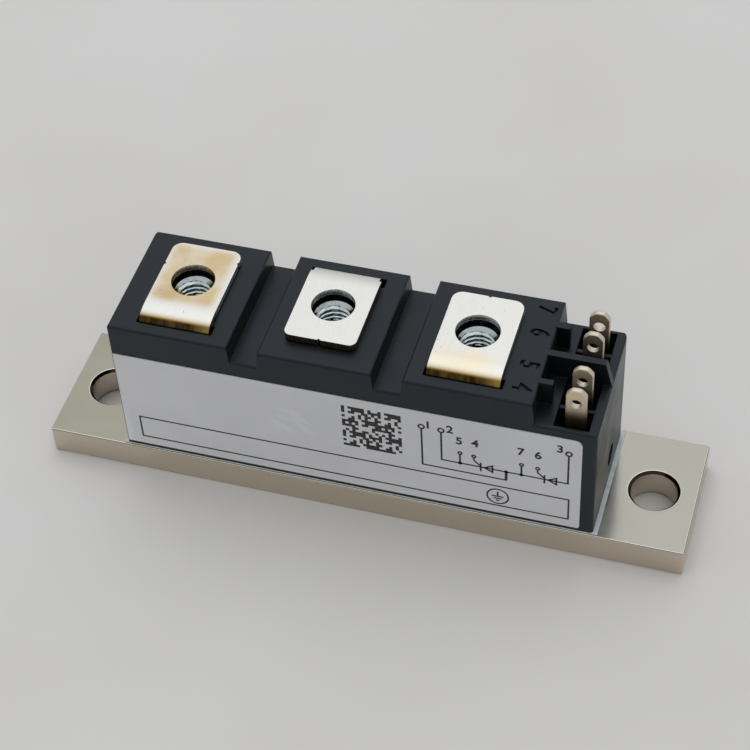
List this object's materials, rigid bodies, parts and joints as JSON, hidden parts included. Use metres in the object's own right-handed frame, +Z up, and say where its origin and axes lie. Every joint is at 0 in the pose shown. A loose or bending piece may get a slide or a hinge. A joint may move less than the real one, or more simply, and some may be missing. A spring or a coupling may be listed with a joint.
{
  "type": "thyristor module",
  "caption": "Long low power module: plated base plate with end mounting holes, black moulded housing with towers, folded screw terminals, control tabs and a pale front label.",
  "frame": {"origin": "centre of the underside of the base plate", "axes": "+X along the plate towards the control tabs, -Y towards the label, +Z up from the plate to the terminals"},
  "size_m": [0.092, 0.02, 0.03],
  "materials": {
    "nickel_plate": "satin nickel plating on copper",
    "housing_plastic": "fine matt moulded black, glass-filled",
    "sealant": "pale grey silicone bead",
    "label_film": "satin silver-grey printed film",
    "tinned_strip": "bright plated copper with yellow heat tint",
    "zinc_nut": "blue-white zinc plating",
    "plated_tab": "satin plated brass",
    "bare_copper": "bare bonded copper",
    "alumina": "white matt ceramic",
    "silicon": "metallised silicon",
    "gate_wire": "yellow insulated wire",
    "cathode_wire": "red insulated wire",
    "gel": "clear soft silicone gel"
  },
  "bodies": {
    "root": {"base_plate": "nickel_plate", "housing": "housing_plastic", "adhesive_seal": "sealant", "label": "label_film", "busbar_1": "tinned_strip", "busbar_2": "tinned_strip", "busbar_3": "tinned_strip", "terminal_nuts": "zinc_nut", "gate_tab_1": "plated_tab", "cathode_tab_1": "plated_tab", "gate_tab_2": "plated_tab", "cathode_tab_2": "plated_tab", "back_copper": "bare_copper", "ceramic_substrate": "alumina", "middle_pad": "bare_copper", "anode_pad": "bare_copper", "thyristor_chip_1": "silicon", "thyristor_chip_2": "silicon", "cathode_clip": "bare_copper", "gate_lead_1": "gate_wire", "cathode_lead_1": "cathode_wire", "gate_lead_2": "gate_wire", "cathode_lead_2": "cathode_wire", "silicone_gel": "gel"}
  },
  "joints": []
}
